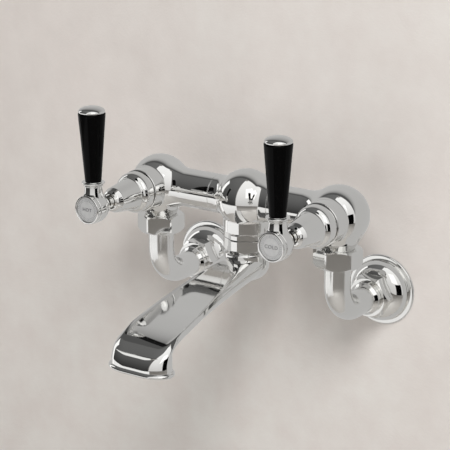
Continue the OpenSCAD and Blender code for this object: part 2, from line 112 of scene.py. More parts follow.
class Finish:
    def __init__(self, name):
        self.material = bpy.data.materials.new(name)
        self.material.use_nodes = True
        self.tree = self.material.node_tree
        self.shader = self.tree.nodes["Principled BSDF"]

    def node(self, kind, settings=None, inputs=None, out=0):
        made = self.tree.nodes.new(kind)
        for key, value in (settings or {}).items():
            setattr(made, key, value)
        for key, value in (inputs or {}).items():
            self.feed(made.inputs[key], value)
        return Wire(self, made.outputs[out])

    def feed(self, socket, value):
        if isinstance(value, Wire):
            self.tree.links.new(value.socket, socket)
        else:
            socket.default_value = value

    def place(self, scale=(1, 1, 1)):
        coords = self.node("ShaderNodeTexCoord", out="Object")
        return self.node("ShaderNodeMapping", inputs={"Vector": coords, "Scale": scale})

    def noise(self, scale, detail=3.0, rough=0.5, stretch=(1, 1, 1), warp=0.0):
        inputs = {"Vector": self.place(stretch), "Scale": scale, "Detail": detail, "Roughness": rough,
                  "Distortion": warp}
        return self.node("ShaderNodeTexNoise", inputs=inputs, out="Fac")

    def blend(self, factor, first, second):
        made = self.tree.nodes.new("ShaderNodeMix")
        made.data_type = "RGBA"
        self.feed(made.inputs[0], factor)
        self.feed(made.inputs[6], first)
        self.feed(made.inputs[7], second)
        return Wire(self, made.outputs[2])

    def bump(self, height, strength, distance):
        inputs = {"Height": height, "Strength": strength, "Distance": distance}
        return self.node("ShaderNodeBump", inputs=inputs)

    def set(self, **values):
        for key, value in values.items():
            self.feed(self.shader.inputs[key.replace("_", " ")], value)
        return self.material


# polished plate: faint polishing waves, finger marks and dust in the roughness
def chromeFinish(name="chrome", tint=(0.86, 0.857, 0.85, 1), wave=0.03, rough=0.03):
    f = Finish(name)
    marks = f.noise(38, 5, 0.6, warp=0.4).span(0.45, 0.75)
    fine = f.noise(900, 2, 0.5)
    cloud = f.noise(14, 3, 0.5)
    deep = (tint[0] * 0.94, tint[1] * 0.94, tint[2] * 0.93, 1)
    waves = f.noise(55, 2, 0.4) + f.noise(420, 2, 0.5) * 0.08
    return f.set(
        Base_Color=f.blend(cloud.span(0.35, 0.7), tint, deep),
        Metallic=1.0,
        Roughness=rough + marks * 0.035 + fine * 0.012,
        Normal=f.bump(waves, wave, 0.0006),
    )


# glazed ceramic: deep black under a clear glaze with slight ripple
def ceramicFinish():
    f = Finish("blackCeramic")
    speck = f.noise(1600, 2, 0.6).span(0.62, 0.8)
    ripple = f.noise(70, 2, 0.4)
    return f.set(
        Base_Color=f.blend(speck, (0.0012, 0.0012, 0.0013, 1), (0.006, 0.0055, 0.0055, 1)),
        Roughness=0.08 + f.noise(60, 3, 0.6) * 0.05,
        Coat_Weight=0.06,
        Coat_Roughness=0.03,
        Specular_IOR_Level=0.03,
        Normal=f.bump(ripple, 0.08, 0.0005),
    )


# satin plated disc: fine blasted grain with soft clouding
def satinFinish():
    f = Finish("satinDisc")
    grain = f.noise(5200, 2, 0.7)
    cloud = f.noise(260, 4, 0.6)
    return f.set(
        Base_Color=f.blend(cloud.span(0.3, 0.7), (0.55, 0.55, 0.555, 1), (0.64, 0.64, 0.635, 1)),
        Metallic=0.6,
        Roughness=0.34 + grain * 0.14,
        Normal=f.bump(grain, 0.35, 0.00008),
    )


def inkFinish():
    f = Finish("fusedInk")
    patch = f.noise(1800, 3, 0.6)
    return f.set(
        Base_Color=f.blend(patch, (0.10, 0.10, 0.105, 1), (0.17, 0.17, 0.175, 1)),
        Metallic=0.3,
        Roughness=0.42 + patch * 0.2,
        Normal=f.bump(patch, 0.2, 0.00005),
    )


def nylonFinish():
    f = Finish("blackNylon")
    grain = f.noise(2400, 3, 0.6)
    return f.set(
        Base_Color=f.blend(f.noise(300).span(0.3, 0.7), (0.008, 0.008, 0.009, 1), (0.02, 0.02, 0.021, 1)),
        Roughness=0.38 + grain * 0.2,
        Normal=f.bump(grain, 0.25, 0.00006),
    )


def rubberFinish():
    f = Finish("sealRubber")
    grain = f.noise(2800, 3, 0.6)
    bloom = f.noise(160, 4, 0.6).span(0.5, 0.8)
    return f.set(
        Base_Color=f.blend(bloom, (0.018, 0.018, 0.018, 1), (0.045, 0.044, 0.042, 1)),
        Roughness=0.7 + grain * 0.15,
        Normal=f.bump(grain, 0.4, 0.0001),
    )


def brassFinish():
    f = Finish("turnedBrass")
    lathe = f.noise(60, 2, 0.5, stretch=(1, 60, 1))
    dull = f.noise(90, 5, 0.65).span(0.4, 0.75)
    return f.set(
        Base_Color=f.blend(dull, (0.74, 0.54, 0.24, 1), (0.50, 0.35, 0.15, 1)),
        Metallic=1.0,
        Roughness=0.20 + dull * 0.15 + lathe * 0.1,
        Normal=f.bump(lathe, 0.25, 0.00008),
    )


def steelFinish():
    f = Finish("plainSteel")
    drawn = f.noise(300, 3, 0.5, stretch=(1, 1, 0.1))
    return f.set(
        Base_Color=f.blend(drawn, (0.55, 0.55, 0.55, 1), (0.66, 0.66, 0.65, 1)),
        Metallic=1.0,
        Roughness=0.26 + drawn * 0.16,
        Normal=f.bump(drawn, 0.2, 0.00006),
    )


def whiteFinish(name, tone, rough):
    f = Finish(name)
    grain = f.noise(2000, 3, 0.6)
    deep = tuple(c * 0.93 for c in tone[:3]) + (1,)
    return f.set(
        Base_Color=f.blend(f.noise(180, 4).span(0.35, 0.7), tone, deep),
        Roughness=rough + grain * 0.1,
        Normal=f.bump(grain, 0.2, 0.00005),
    )


chrome = chromeFinish()
castChrome = chromeFinish("castChrome", wave=0.03, rough=0.035)
legChrome = chromeFinish("legChrome", wave=0.04, rough=0.12)
ceramic = ceramicFinish()
satin = satinFinish()
ink = inkFinish()
nylon = nylonFinish()
rubber = rubberFinish()
brass = brassFinish()
steel = steelFinish()
acetal = whiteFinish("whiteAcetal", (0.82, 0.82, 0.80, 1), 0.42)
alumina = whiteFinish("lappedAlumina", (0.86, 0.85, 0.82, 1), 0.22)
print("finishes are made")


# a corner written as (radius, height, rounding) turns into a short arc
def softCorners(points, closed=False, steps=6):
    out = []
    count = len(points)
    for i, p in enumerate(points):
        here = Vector(p[:2])
        rounding = p[2] if len(p) > 2 else 0
        if not rounding or (not closed and i in (0, count - 1)):
            out.append(here)
            continue
        back = Vector(points[i - 1][:2]) - here
        ahead = Vector(points[(i + 1) % count][:2]) - here
        halfAngle = back.angle(ahead) / 2
        reach = min(rounding / math.tan(halfAngle), back.length * 0.48, ahead.length * 0.48)
        radius = reach * math.tan(halfAngle)
        centre = here + (back.normalized() + ahead.normalized()).normalized() * radius / math.sin(halfAngle)
        start = here + back.normalized() * reach - centre
        end = here + ahead.normalized() * reach - centre
        sweep = start.angle_signed(end)
        for k in range(steps + 1):
            turn = Matrix.Rotation(-sweep * k / steps, 2)
            out.append(centre + turn @ start)
    return [(v.x, v.y) for v in out]


def arcPoints(cx, cy, radius, first, last, steps=10):
    angles = [math.radians(first + (last - first) * i / steps) for i in range(steps + 1)]
    return [(cx + radius * math.cos(a), cy + radius * math.sin(a)) for a in angles]


def turnProfile(points, place, closed=False, around=144):
    bm = bmesh.new()
    verts = [bm.verts.new((max(r, 0) * mm, 0, h * mm)) for r, h in points]
    edges = [bm.edges.new(pair) for pair in zip(verts, verts[1:])]
    if closed:
        edges.append(bm.edges.new((verts[-1], verts[0])))
    bmesh.ops.spin(bm, geom=verts + edges, cent=(0, 0, 0), axis=(0, 0, 1), angle=2 * math.pi,
                   steps=around, use_merge=True, use_duplicate=False)
    bmesh.ops.remove_doubles(bm, verts=bm.verts, dist=1e-7)
    bmesh.ops.recalc_face_normals(bm, faces=bm.faces)
    bmesh.ops.transform(bm, matrix=place, verts=bm.verts)
    return bm


def joinShells(shells):
    whole = bmesh.new()
    for shell in shells:
        part = bpy.data.meshes.new("shell")
        shell.to_mesh(part)
        shell.free()
        whole.from_mesh(part)
        bpy.data.meshes.remove(part)
    return whole


def finishPiece(name, bm, material, body, stands=(), sharp=38, weighted=True):
    mesh = bpy.data.meshes.new(name)
    bm.to_mesh(mesh)
    bm.free()
    mesh.polygons.foreach_set("use_smooth", [True] * len(mesh.polygons))
    mesh.set_sharp_from_angle(angle=math.radians(sharp))
    mesh.materials.append(material)
    piece = bpy.data.objects.new(name, mesh)
    scene.collection.objects.link(piece)
    if weighted:
        even = piece.modifiers.new("evenNormals", "WEIGHTED_NORMAL")
        even.keep_sharp = True
        even.weight = 80
    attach(piece, body)
    if stands:
        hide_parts(*stands)
    return piece


def boolean(first, operation, second):
    objects = []
    for bm in (first, second):
        mesh = bpy.data.meshes.new("cut")
        bm.to_mesh(mesh)
        bm.free()
        made = bpy.data.objects.new("cut", mesh)
        scene.collection.objects.link(made)
        objects.append(made)
    keep, tool = objects
    cut = keep.modifiers.new("cut", "BOOLEAN")
    cut.operation, cut.solver, cut.object = operation, "EXACT", tool
    bpy.context.view_layer.update()
    result = bmesh.new()
    result.from_object(keep, bpy.context.evaluated_depsgraph_get())
    for made in objects:
        mesh = made.data
        bpy.data.objects.remove(made)
        bpy.data.meshes.remove(mesh)
    bmesh.ops.remove_doubles(result, verts=result.verts, dist=1e-6)
    return result


# hexagon bar with its corners turned down by a profile, and a stepped hole
def hexNut(nut, place, around=144):
    corner = nut["flats"] / math.sqrt(3)
    low, high = nut["span"]
    bar = bmesh.new()
    ring = bmesh.ops.create_circle(bar, cap_ends=True, segments=6, radius=corner * mm,
                                   matrix=Matrix.Translation((0, 0, low * mm))
                                   @ Matrix.Rotation(math.radians(nut.get("spin", 0)), 4, "Z"))
    face = ring["verts"][0].link_faces[0]
    grown = bmesh.ops.extrude_face_region(bar, geom=[face])
    tops = [g for g in grown["geom"] if isinstance(g, bmesh.types.BMVert)]
    bmesh.ops.translate(bar, vec=(0, 0, (high - low) * mm), verts=tops)
    upright = [e for e in bar.edges if abs(e.verts[0].co.z - e.verts[1].co.z) > 1e-4]
    bmesh.ops.bevel(bar, geom=upright, offset=nut["edge"] * mm, offset_type="OFFSET", segments=4,
                    profile=0.5, affect="EDGES", material=-1)
    bmesh.ops.recalc_face_normals(bar, faces=bar.faces)
    cl, ch, turn = nut["lowCut"], nut["highCut"], nut["turn"]
    outline = [(0, low), (corner - cl[0], low), (turn, low + cl[1]), (turn, high - ch[1]),
               (corner - ch[0], high), (0, high)]
    shape = boolean(bar, "INTERSECT", turnProfile(outline, Matrix.Identity(4), around=around))
    hole = [(0, low - 2)] + nut["hole"] + [(0, high + 2)]
    shape = boolean(shape, "DIFFERENCE", turnProfile(hole, Matrix.Identity(4), around=96))
    bmesh.ops.dissolve_limit(shape, angle_limit=math.radians(0.5), verts=shape.verts, edges=shape.edges)
    crisp = [e for e in shape.edges if len(e.link_faces) == 2 and e.calc_face_angle() > math.radians(14)
             and e.verts[0].co.xy.length > (nut["hole"][0][0] + 0.05) * mm]
    bmesh.ops.bevel(shape, geom=crisp, offset=nut["soften"] * mm, offset_type="OFFSET", segments=3,
                    profile=0.5, affect="EDGES", material=-1, clamp_overlap=True)
    bmesh.ops.transform(shape, matrix=place, verts=shape.verts)
    return shape


# sizes are in mm: radii, and heights along each shape's own axis
bridge = {
    "ball": 25.5, "tube": 16.5, "endBlend": 30.0, "midBlend": 12.0,
    "grooveAt": 29.5, "grooveDeep": 0.55, "grooveHalf": 0.25,
    "seat": 18.4, "seatBlend": 5.0, "seatFront": 32.0, "nipple": 14.5, "nippleEnd": 39.0, "seatBore": 10.6,
    "neckFoot": 13.8, "neckBase": 59.0, "neckBore": 13.2,
    "midNeck": 20.0, "midNeckBlend": 5.0, "midNeckBase": 58.8,
}


# centre of a fillet between a ball and its stem, the angle where they meet, and that point
def ballBlend(ball, stem, radius):
    centreR = stem + radius
    centreZ = math.sqrt((ball + radius) ** 2 - centreR ** 2)
    touch = math.degrees(math.atan2(-centreZ, -centreR))
    return (centreR, centreZ), touch, (centreR * ball / (ball + radius), centreZ * ball / (ball + radius))


def bridgeProfile():
    b = bridge
    half = layout["half"] / mm
    (mr, mz), midTouch, midPoint = ballBlend(b["ball"], b["tube"], b["midBlend"])
    (er, ez), endTouch, endPoint = ballBlend(b["ball"], b["tube"], b["endBlend"])
    points = []
    midSteps, endSteps = 26, 60
    for i in range(midSteps):
        x = midPoint[1] * i / midSteps
        points.append((math.sqrt(b["ball"] ** 2 - x * x), x))
    points += arcPoints(mr, mz, b["midBlend"], midTouch + 360, 180, 16)
    tube, at, groove = b["tube"], b["grooveAt"], b["grooveHalf"]
    floor = tube - b["grooveDeep"]
    points += softCorners([(tube, at - 3), (tube, at - 2 * groove, 0.15), (floor, at - groove, 0.15),
                           (floor, at + groove, 0.15), (tube, at + 2 * groove, 0.15), (tube, at + 3)])
    blend = [(r, half - h) for r, h in arcPoints(er, ez, b["endBlend"], endTouch + 360, 180, 26)]
    points += blend[::-1]
    first = math.asin(endPoint[1] / b["ball"])
    for i in range(1, endSteps + 1):
        a = -first + (first + math.pi / 2) * i / endSteps
        points.append((b["ball"] * math.cos(a), half + b["ball"] * math.sin(a)))
    points[-1] = (0, half + b["ball"])
    mirrored = [(r, -h) for r, h in points[:0:-1]]
    return mirrored + points


# seat that the bonnet screws to, closed off inside the ball
def seatProfile():
    b = bridge
    (cr, cz), touch, point = ballBlend(b["ball"], b["seat"], b["seatBlend"])
    points = [(0, 12), (point[0] - 1.2, 14.6), (point[0] - 0.15, point[1] - 0.1)]
    points += arcPoints(cr, cz, b["seatBlend"], touch + 360, 180, 12)
    front, end, bore = b["seatFront"], b["nippleEnd"], b["seatBore"]
    points += softCorners([(b["seat"], 24), (b["seat"], front, 0.7), (b["nipple"], front, 0.2),
                           (b["nipple"], end, 0.3), (bore, end, 0.2), (bore, 30), (0, 30)])
    return points


# neck under an end ball: a straight cone that meets the ball tangentially
def neckProfile():
    b = bridge
    rise = layout["rise"] / mm
    foot = Vector((b["neckFoot"], b["neckBase"]))
    away = Vector((-foot.x, rise - foot.y))
    lean = math.asin(b["ball"] / away.length) - math.atan2(foot.x, rise - foot.y)
    run = math.sqrt(away.length_squared - b["ball"] ** 2)
    touch = foot + Vector((math.sin(lean), math.cos(lean))) * run
    bore, base = b["neckBore"], b["neckBase"]
    return softCorners([(0, base - 4), (bore, base - 4), (bore, base, 0.1), (foot.x, foot.y, 0.5),
                        (touch.x, touch.y), (touch.x - 0.4, touch.y + 1.2), (0, touch.y + 4)])


def midNeckProfile():
    b = bridge
    rise = layout["rise"] / mm
    (cr, cz), touch, point = ballBlend(b["ball"], b["midNeck"], b["midNeckBlend"])
    meet = rise - point[1]
    points = [(0, rise - 12), (point[0] - 1, meet + 1.4), (point[0] - 0.15, meet + 0.1)]
    points += [(r, rise - h) for r, h in arcPoints(cr, cz, b["midNeckBlend"], touch + 360, 180, 12)]
    return points + softCorners([(b["midNeck"], 64), (b["midNeck"], b["midNeckBase"], 0.5),
                                 (b["neckBore"], b["midNeckBase"], 0.2), (0, b["midNeckBase"])])


alongWall = Matrix.Translation((0, -layout["reach"], layout["rise"])) @ Matrix.Rotation(math.pi / 2, 4, "Y")
shells = [turnProfile(bridgeProfile(), alongWall, around=176)]
for side in sides.values():
    shells.append(turnProfile(seatProfile(), atBall(side)))
    shells.append(turnProfile(neckProfile(), atLeg(side)))
shells.append(turnProfile(midNeckProfile(), atSpout()))
finishPiece("bridgeBody", joinShells(shells), castChrome, "fixture", ["body"])
print("bridge body is made")

# each nut: width over the flats, ends, corner cuts as (inwards, along) and a stepped hole
unionNut = {"flats": 36.5, "span": (43, 58.6), "turn": 20.6, "lowCut": (2.9, 2.4), "highCut": (2.6, 1.5),
            "edge": 0.5, "soften": 0.22, "hole": [(11.25, 41), (11.25, 46.2), (13.25, 46.2), (13.25, 60.6)]}
wallNut = {"flats": 34.3, "span": (16, 27.5), "turn": 19.6, "lowCut": (0.6, 0.4), "highCut": (2.9, 2.2),
           "edge": 0.4, "soften": 0.22, "spin": 30,
           "hole": [(13.25, 14), (13.25, 25.5), (11.2, 25.5), (11.2, 29.5)]}
pipe = {"outer": 11.1, "inner": 9.6, "bend": 27.0, "top": 48.0, "wallEnd": 24.6, "collar": 12.9,
        "topCollar": (46.3, 47.9), "wallCollar": (24.7, 26.3)}
legRing = {"inner": 11.12, "outer": 14.3, "back": 27.62, "front": 34.3, "shoulder": 31.7}
flange = {"rim": 31.3, "rimThick": 2.2, "recess": 25.2, "bell": 27.2, "dome": 14.0, "front": 16.0,
          "hole": 13.4}


def legTube(radius, side, inward=False):
    bm = bmesh.new()
    p = pipe
    bmesh.ops.create_circle(bm, segments=96, radius=radius * mm,
                            matrix=Matrix.Translation((0, 0, p["top"] * mm)))
    edges = list(bm.edges)
    drop = bmesh.ops.extrude_edge_only(bm, edges=edges)["geom"]
    bmesh.ops.translate(bm, vec=(0, 0, (p["bend"] - p["top"]) * mm),
                        verts=[g for g in drop if isinstance(g, bmesh.types.BMVert)])
    edges = [g for g in drop if isinstance(g, bmesh.types.BMEdge)]
    swung = bmesh.ops.spin(bm, geom=edges, cent=(0, p["bend"] * mm, p["bend"] * mm), axis=(1, 0, 0),
                           angle=math.pi / 2, steps=36, use_duplicate=False)["geom_last"]
    edges = [g for g in swung if isinstance(g, bmesh.types.BMEdge)]
    run = bmesh.ops.extrude_edge_only(bm, edges=edges)["geom"]
    bmesh.ops.translate(bm, vec=(0, layout["reach"] - (p["bend"] + p["wallEnd"]) * mm, 0),
                        verts=[g for g in run if isinstance(g, bmesh.types.BMVert)])
    bmesh.ops.remove_doubles(bm, verts=bm.verts, dist=1e-7)
    bmesh.ops.recalc_face_normals(bm, faces=bm.faces)
    if inward:
        bmesh.ops.reverse_faces(bm, faces=bm.faces)
    bmesh.ops.transform(bm, matrix=atLeg(side), verts=bm.verts)
    return bm


def legShell(side):
    bm = joinShells([legTube(pipe["outer"], side), legTube(pipe["inner"], side, True)])
    ends = [e for e in bm.edges if e.is_boundary]
    middle = pipe["bend"] * mm
    for upper in (True, False):
        bmesh.ops.bridge_loops(bm, edges=[e for e in ends if (e.verts[0].co.z > middle) == upper])
    bmesh.ops.recalc_face_normals(bm, faces=bm.faces)
    collars = []
    inner, outer = pipe["outer"] - 0.1, pipe["collar"]
    for place, (low, high) in ((atLeg(side), pipe["topCollar"]), (atInlet(side), pipe["wallCollar"])):
        ring = softCorners([(inner, low), (outer, low, 0.3), (outer, high, 0.3), (inner, high)], True, 3)
        collars.append(turnProfile(ring, place, True, 96))
    return joinShells([bm] + collars)


def flangeProfile():
    w = flange
    hole, front = w["hole"], w["front"]
    outer = softCorners([(w["recess"], 0), (w["rim"], 0, 0.35), (w["rim"], w["rimThick"], 1.05),
                         (w["bell"] + 0.1, w["rimThick"], 0.4), (w["bell"], 4.4)])
    radius = w["bell"] - w["dome"]
    dome = arcPoints(w["dome"], 2.7, radius, 7, 78, 16)
    face = [(17.4, front), (hole + 0.2, front), (hole, front - 0.2), (hole, 13.8)]
    inside = arcPoints(w["dome"], 2.9, radius - 2.3, 80, 6, 10)
    return outer + dome + face + inside + [(w["recess"], 2.6)]


for label, side in sides.items():
    finishPiece(label + "UnionNut", hexNut(unionNut, atLeg(side)), chrome, "fixture",
                [label + "_union_nut"], sharp=20)
    finishPiece(label + "WallNut", hexNut(wallNut, atInlet(side)), chrome, "fixture",
                [label + "_wall_nut"], sharp=20)
    finishPiece(label + "Leg", legShell(side), legChrome, "fixture", [label + "_leg"])
    r = legRing
    profile = softCorners([(r["inner"], r["back"]), (r["outer"], r["back"], 0.4),
                           (r["outer"], r["shoulder"], 1.6), (12.3, 33.7, 0.8), (11.7, r["front"], 0.4),
                           (r["inner"], r["front"])], True)
    finishPiece(label + "LegRing", turnProfile(profile, atInlet(side), True), chrome, "fixture",
                [label + "_leg_ring"])
    finishPiece(label + "WallFlange", turnProfile(flangeProfile(), atInlet(side), True), chrome, "fixture",
                [label + "_wall_flange"])
print("legs and wall fittings are made")

# male thread of the wall connector: one tooth swept up a helix
thread = {"major": 10.47, "root": 9.5, "pitch": 1.814, "low": -19.0, "turns": 10, "steps": 64}
connector = {"bore": 7.5, "back": -20, "tail": 9.6, "head": 13.15, "front": 23}


def connectorShell(side):
    t, c = thread, connector
    bm = bmesh.new()
    crest = t["major"] - 0.12
    tooth = [(t["root"], 0), (crest, 0.40), (t["major"], 0.46), (t["major"], 0.54), (crest, 0.60),
             (t["root"], 1)]
    verts = [bm.verts.new((r * mm, 0, (t["low"] + h * t["pitch"]) * mm)) for r, h in tooth]
    edges = [bm.edges.new(pair) for pair in zip(verts, verts[1:])]
    bmesh.ops.spin(bm, geom=verts + edges, cent=(0, 0, 0), axis=(0, 0, 1), angle=2 * math.pi * t["turns"],
                   dvec=(0, 0, t["pitch"] * mm / t["steps"]), steps=t["steps"] * t["turns"],
                   use_merge=False, use_duplicate=False)
    bmesh.ops.remove_doubles(bm, verts=bm.verts, dist=1e-6)
    bmesh.ops.recalc_face_normals(bm, faces=bm.faces)
    bmesh.ops.transform(bm, matrix=atInlet(side), verts=bm.verts)
    core = softCorners([(c["bore"], c["back"]), (c["tail"], c["back"], 0.4), (c["tail"], -0.6, 0.2),
                        (c["head"], -0.1, 0.2), (c["head"], c["front"], 0.5), (c["bore"], c["front"])],
                       True, 4)
    return joinShells([bm, turnProfile(core, atInlet(side), True, 96)])


for label, side in sides.items():
    finishPiece(label + "WallConnector", connectorShell(side), brass, "fixture",
                [label + "_wall_connector"], weighted=False)

# bonnet over the cartridge, with a black bush in its nose
bonnet = {"band": 17.7, "back": 32.6, "front": 72.4, "hole": 5.3, "shoulder": 6.6}
bush = {"inner": 4.06, "outer": 5.25, "back": 66, "front": 72.3}


def bonnetProfile():
    b = bonnet
    shoulder = arcPoints(b["band"] - b["shoulder"], 38.6, b["shoulder"], 0, 62, 14)
    nose = softCorners([(13.3, 46.2, 0.5), (10.75, 67.2, 1.6), (8.8, 71.0, 1.6), (7.1, b["front"], 0.6),
                        (b["hole"], b["front"], 0.25), (b["hole"], 64)])
    outer = softCorners([(14.6, b["back"]), (b["band"] - 0.35, b["back"], 0.25), (b["band"], 34.4, 1.5),
                         (b["band"], 38.0)])
    corner = softCorners([shoulder[-1], (13.55, 45.9, 0.6), (13.27, 47.5)])[1:]
    return outer + shoulder + corner + nose[1:] + [(9, 63), (9, 50), (11.6, 49), (11.6, 40), (14.6, 39)]


for label, side in sides.items():
    finishPiece(label + "Bonnet", turnProfile(bonnetProfile(), atBall(side), True), chrome, "fixture",
                [label + "_bonnet"])
    b = bush
    ring = softCorners([(b["inner"], b["back"]), (b["outer"], b["back"]), (b["outer"], b["front"], 0.1),
                        (b["inner"], b["front"], 0.1)], True, 4)
    finishPiece(label + "BonnetBush", turnProfile(ring, atBall(side), True, 96), nylon, "fixture",
                [label + "_bonnet_bush"])
print("bonnets are made")

# lever: hub, collar, grip and cap, with an index ring and disc in front
hub = {"radius": 12.6, "back": 72.9, "swellEnd": 94.0, "front": 99.8, "bore": 4.06, "pocket": 7.7,
       "floor": 96, "neck": 7.3, "neckTop": 18.7, "flare": 3.2, "flarePower": 2.2}
collar = {"bore": 2.6, "foot": 8.1, "waist": 7.25, "flange": 9.65}
grip = {"foot": 22.9, "length": 58.4, "footR": 6.9, "topR": 11.5, "bore": 2.62}
cap = {"inset": 0.5, "spring": 0.95, "dome": 4.15}
indexRing = {"outer": 12.2, "back": 99.9, "front": 104.0, "recess": 102.0, "inner": 10.35,
             "bore": 6.1, "spigot": 7.6, "spigotEnd": 97.3}
indexDisc = {"radius": 10.28, "back": 102.05, "front": 103.1}


def hubShells(side):
    h = hub
    tip, steps = 5, 40
    swell = []
    for i in range(steps + 1):
        t = i / steps
        r = tip + (h["radius"] - tip) * (1 - math.cos(math.pi * t)) / 2
        swell.append((r, h["back"] + (h["swellEnd"] - h["back"]) * t))
    barrel = [(h["bore"], h["back"] + 3), (h["bore"], h["back"])] + swell
    barrel += softCorners([(h["radius"], 97), (h["radius"], h["front"], 0.5), (h["pocket"], h["front"]),
                           (h["pocket"], h["floor"]), (h["bore"], h["floor"])])
    # the neck widens as it runs down into the barrel
    low, high, steps = 5, 16.5, 28
    neck = [(0, low - 1)]
    for i in range(steps + 1):
        z = low + (high - low) * i / steps
        down = (h["neckTop"] - z) / (h["neckTop"] - low)
        neck.append((h["neck"] + h["flare"] * down ** h["flarePower"], z))
    neck += softCorners([(h["neck"], 17.4), (h["neck"], h["neckTop"], 0.3), (0, h["neckTop"])])
    stem = turnProfile(neck, Matrix.Identity(4), around=96)
    # behind the index ring the neck is cut flat at the hub's front
    for vert in stem.verts:
        if vert.co.z < (h["radius"] + 0.1) * mm:
            vert.co.y = max(vert.co.y, (layout["leverOut"] / mm - h["front"] + 0.05) * mm)
    bmesh.ops.transform(stem, matrix=atLever(side), verts=stem.verts)
    return [turnProfile(barrel, atBall(side), True), stem]


def collarProfile():
    foot, top = hub["neckTop"], grip["foot"]
    bore, wide, waist, lip = collar["bore"], collar["foot"], collar["waist"], collar["flange"]
    return softCorners([(bore, foot + 0.05), (wide - 0.5, foot + 0.05, 0.2), (wide, foot + 0.55, 0.4),
                        (wide, 20.1, 0.35), (waist, 20.35, 0.25), (waist, 21.05, 0.25), (lip, 21.2, 0.6),
                        (lip, 22.5, 0.6), (waist, 22.6, 0.15), (waist, top, 0.1), (bore, top)], True)


def gripProfile():
    g = grip
    top = g["foot"] + g["length"]
    return softCorners([(g["bore"], g["foot"] + 0.05), (g["footR"] - 0.1, g["foot"] + 0.05, 0.9),
                        (g["topR"], top - 0.3, 1.3), (g["bore"], top - 0.3)], True, 8)


def capProfile():
    c = cap
    base = grip["foot"] + grip["length"] - 0.25
    rim = grip["topR"] - c["inset"]
    dome = []
    for degrees in range(10, 91, 4):
        a = math.radians(degrees)
        dome.append((rim * math.cos(a), base + c["spring"] + c["dome"] * math.sin(a)))
    dome[-1] = (0, base + c["spring"] + c["dome"])
    edge = softCorners([(0, base), (rim - 0.1, base, 0.3), (rim + 0.02, base + 0.9, 0.3), dome[0]])
    return edge[:-1] + dome


def ringProfile():
    n = indexRing
    return softCorners([(n["bore"], n["spigotEnd"]), (n["spigot"], n["spigotEnd"]), (n["spigot"], n["back"]),
                        (n["outer"] - 0.05, n["back"], 0.25), (n["outer"], n["front"] - 0.1, 0.75),
                        (n["inner"] + 0.35, n["front"], 0.35), (n["inner"], n["recess"]),
                        (n["bore"], n["recess"])], True)


# plain word and a ring of small marks, raised a little from the disc
marking = {"size": 4.1, "spacing": 1.12, "lift": 0.09, "wordAt": 103.15, "marks": 36, "markAt": 8.9,
           "markLong": 1.15, "markWide": 0.22, "markThick": 0.16, "markMid": 103.12,
           "line": (7.55, 7.67), "lineSpan": (103.02, 103.17)}


def wordMesh(text, side):
    curve = bpy.data.curves.new("word", "FONT")
    curve.body = text
    curve.size = marking["size"] * mm
    curve.align_x, curve.align_y = "CENTER", "CENTER"
    curve.extrude = marking["lift"] * mm
    curve.space_character = marking["spacing"]
    holder = bpy.data.objects.new("word", curve)
    scene.collection.objects.link(holder)
    bpy.context.view_layer.update()
    bm = bmesh.new()
    bm.from_mesh(holder.to_mesh())
    holder.to_mesh_clear()
    bpy.data.objects.remove(holder)
    bpy.data.curves.remove(curve)
    bmesh.ops.remove_doubles(bm, verts=bm.verts, dist=1e-7)
    raised = Matrix.Translation((0, 0, marking["wordAt"] * mm))
    bmesh.ops.transform(bm, matrix=atBall(side) @ raised, verts=bm.verts)
    return bm


def markRing(side):
    bm = bmesh.new()
    m = marking
    at = Matrix.Translation((0, m["markAt"] * mm, m["markMid"] * mm))
    block = Matrix.Diagonal((m["markWide"] * mm, m["markLong"] * mm, m["markThick"] * mm, 1))
    bmesh.ops.create_cube(bm, size=1, matrix=at @ block)
    more = m["marks"] - 1
    bmesh.ops.spin(bm, geom=bm.verts[:] + bm.edges[:] + bm.faces[:], cent=(0, 0, 0), axis=(0, 0, 1),
                   angle=2 * math.pi * more / m["marks"], steps=more, use_duplicate=True)
    (inner, outer), (low, high) = m["line"], m["lineSpan"]
    line = [(inner, low), (outer, low), (outer, high), (inner, high)]
    bm = joinShells([bm, turnProfile(line, Matrix.Identity(4), True, 96)])
    bmesh.ops.recalc_face_normals(bm, faces=bm.faces)
    bmesh.ops.transform(bm, matrix=atBall(side), verts=bm.verts)
    return bm


words = {"hot": "HOT", "cold": "COLD"}
for label, side in sides.items():
    body = label + "_lever"
    finishPiece(label + "Hub", joinShells(hubShells(side)), castChrome, body, [label + "_hub"])
    finishPiece(label + "LeverCollar", turnProfile(collarProfile(), atLever(side), True, 96), chrome, body,
                [label + "_lever_collar"])
    finishPiece(label + "LeverGrip", turnProfile(gripProfile(), atLever(side), True), ceramic, body,
                [label + "_lever_grip"])
    finishPiece(label + "LeverCap", turnProfile(capProfile(), atLever(side)), chrome, body,
                [label + "_lever_cap"])
    finishPiece(label + "IndexRing", turnProfile(ringProfile(), atBall(side), True), chrome, body,
                [label + "_index_ring"])
    d = indexDisc
    disc = softCorners([(0, d["back"]), (d["radius"], d["back"]), (d["radius"], d["front"], 0.15),
                        (0, d["front"])])
    finishPiece(label + "IndexDisc", turnProfile(disc, atBall(side)), satin, body,
                [label + "_index_disc"])
    finishPiece(label + "IndexWord", wordMesh(words[label], side), ink, body,
                weighted=False)
    finishPiece(label + "IndexMarks", markRing(side), ink, body, weighted=False)
print("levers are made")

